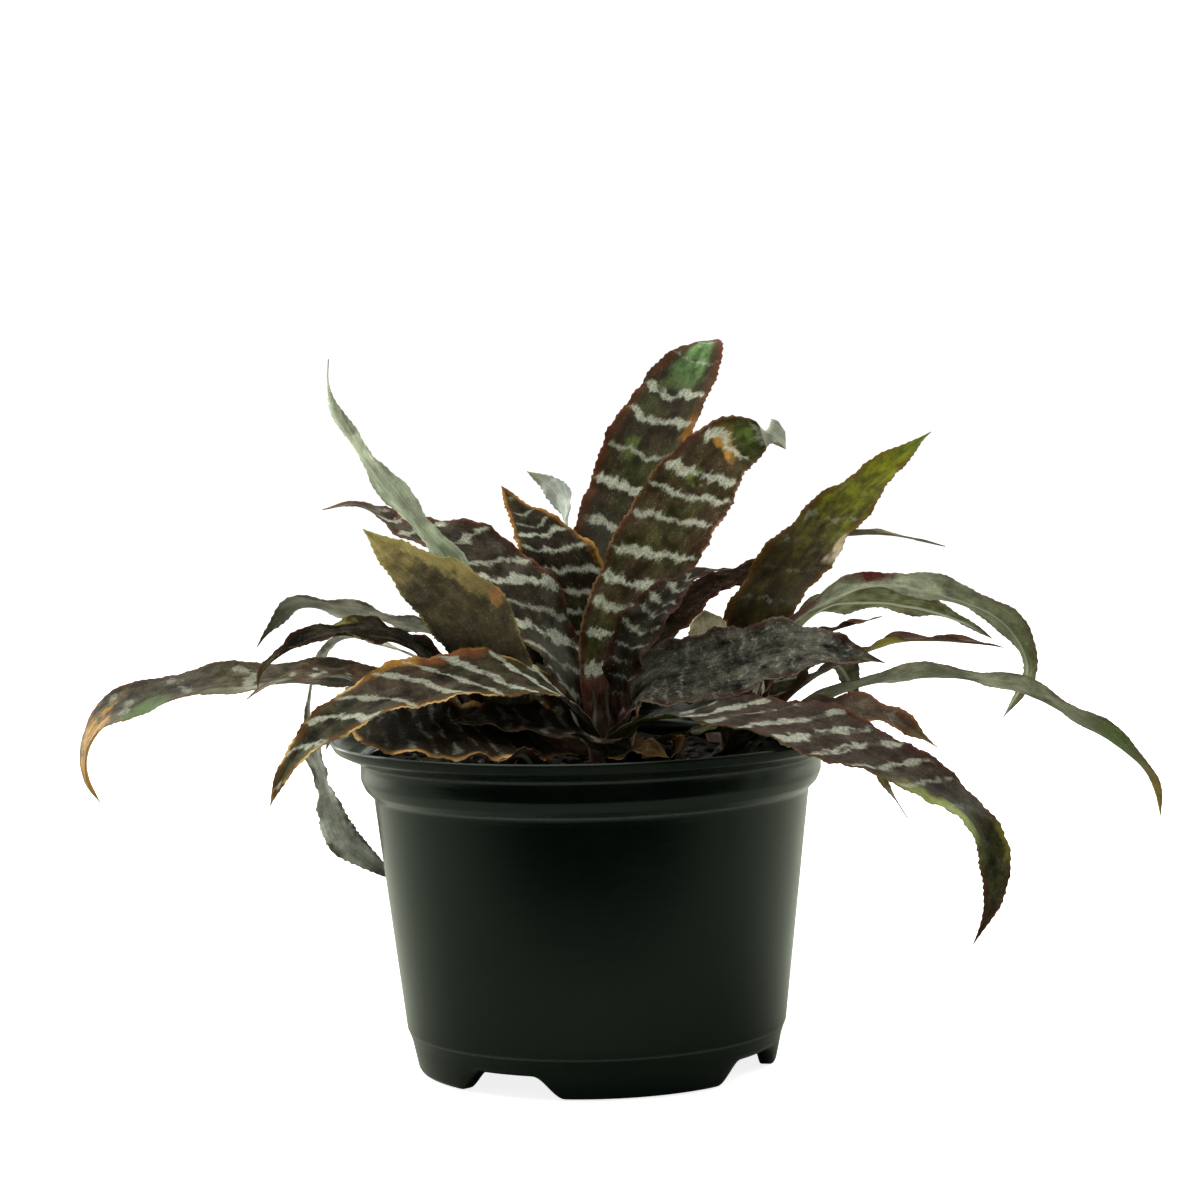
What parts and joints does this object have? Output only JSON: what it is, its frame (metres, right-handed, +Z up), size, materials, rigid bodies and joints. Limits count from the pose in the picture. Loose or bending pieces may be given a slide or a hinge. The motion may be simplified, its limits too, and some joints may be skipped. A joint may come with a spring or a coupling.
{
  "type": "potted earth star bromeliad",
  "caption": "Earth star bromeliad with wavy, toothed, silver-banded leaves in a dark green plastic nursery pot of soil.",
  "frame": {"origin": "on the surface under the pot, below the middle of the plant's box; the pot's own axis stands 10 mm towards -X and 16 mm towards -Y of it", "axes": "+X to the right along the widest spread of the leaves, +Y from the front to the back, +Z up"},
  "size_m": [0.3606, 0.2044, 0.2385],
  "materials": {
    "pot": "satin moulded plastic, very dark green",
    "soil": "rough dark potting mix with pale grit",
    "crown": "soft pinkish young leaf bases",
    "leaf_banded": "maroon-brown leaf with zigzag silver cross-bands",
    "leaf_maroon": "dark maroon leaf",
    "leaf_olive": "olive-brown leaf with a yellow-green tip",
    "leaf_silver": "silvery scurf of a leaf's underside",
    "leaf_charcoal": "charcoal leaf with silvery specks",
    "leaf_dry": "dry tan and brown dead leaf"
  },
  "bodies": {
    "root": {"pot": "pot", "soil": "soil", "crown_main": "crown", "crown_left": "crown", "crown_right": "crown", "main_leaf_tall_back": "leaf_banded", "main_leaf_tall_front": "leaf_olive", "main_leaf_broad": "leaf_banded", "main_leaf_arching": "leaf_banded", "main_leaf_dark": "leaf_charcoal", "main_leaf_small": "leaf_banded", "main_leaf_strap": "leaf_maroon", "main_leaf_long_front": "leaf_banded", "main_leaf_front_left": "leaf_banded", "main_leaf_under": "leaf_maroon", "main_leaf_silver_back": "leaf_silver", "main_leaf_low_tip": "leaf_olive", "main_leaf_rear": "leaf_banded", "main_leaf_rear_left": "leaf_banded", "left_leaf_upright": "leaf_silver", "left_leaf_olive": "leaf_olive", "left_leaf_grey": "leaf_silver", "left_leaf_toothed": "leaf_charcoal", "left_leaf_long": "leaf_banded", "left_leaf_mottled": "leaf_banded", "left_leaf_hanging": "leaf_silver", "left_leaf_rear": "leaf_banded", "right_leaf_olive": "leaf_olive", "right_leaf_curled": "leaf_silver", "right_leaf_midrib": "leaf_silver", "right_leaf_red": "leaf_maroon", "right_leaf_long": "leaf_silver", "right_leaf_low": "leaf_maroon", "right_leaf_strip": "leaf_maroon", "right_leaf_short": "leaf_dry", "right_leaf_rear_right": "leaf_banded", "right_leaf_rear": "leaf_banded", "dead_leaf_rim": "leaf_dry", "dead_leaf_curl": "leaf_dry", "dead_leaf_scrap": "leaf_dry", "dead_leaf_twist": "leaf_dry"}
  },
  "joints": []
}
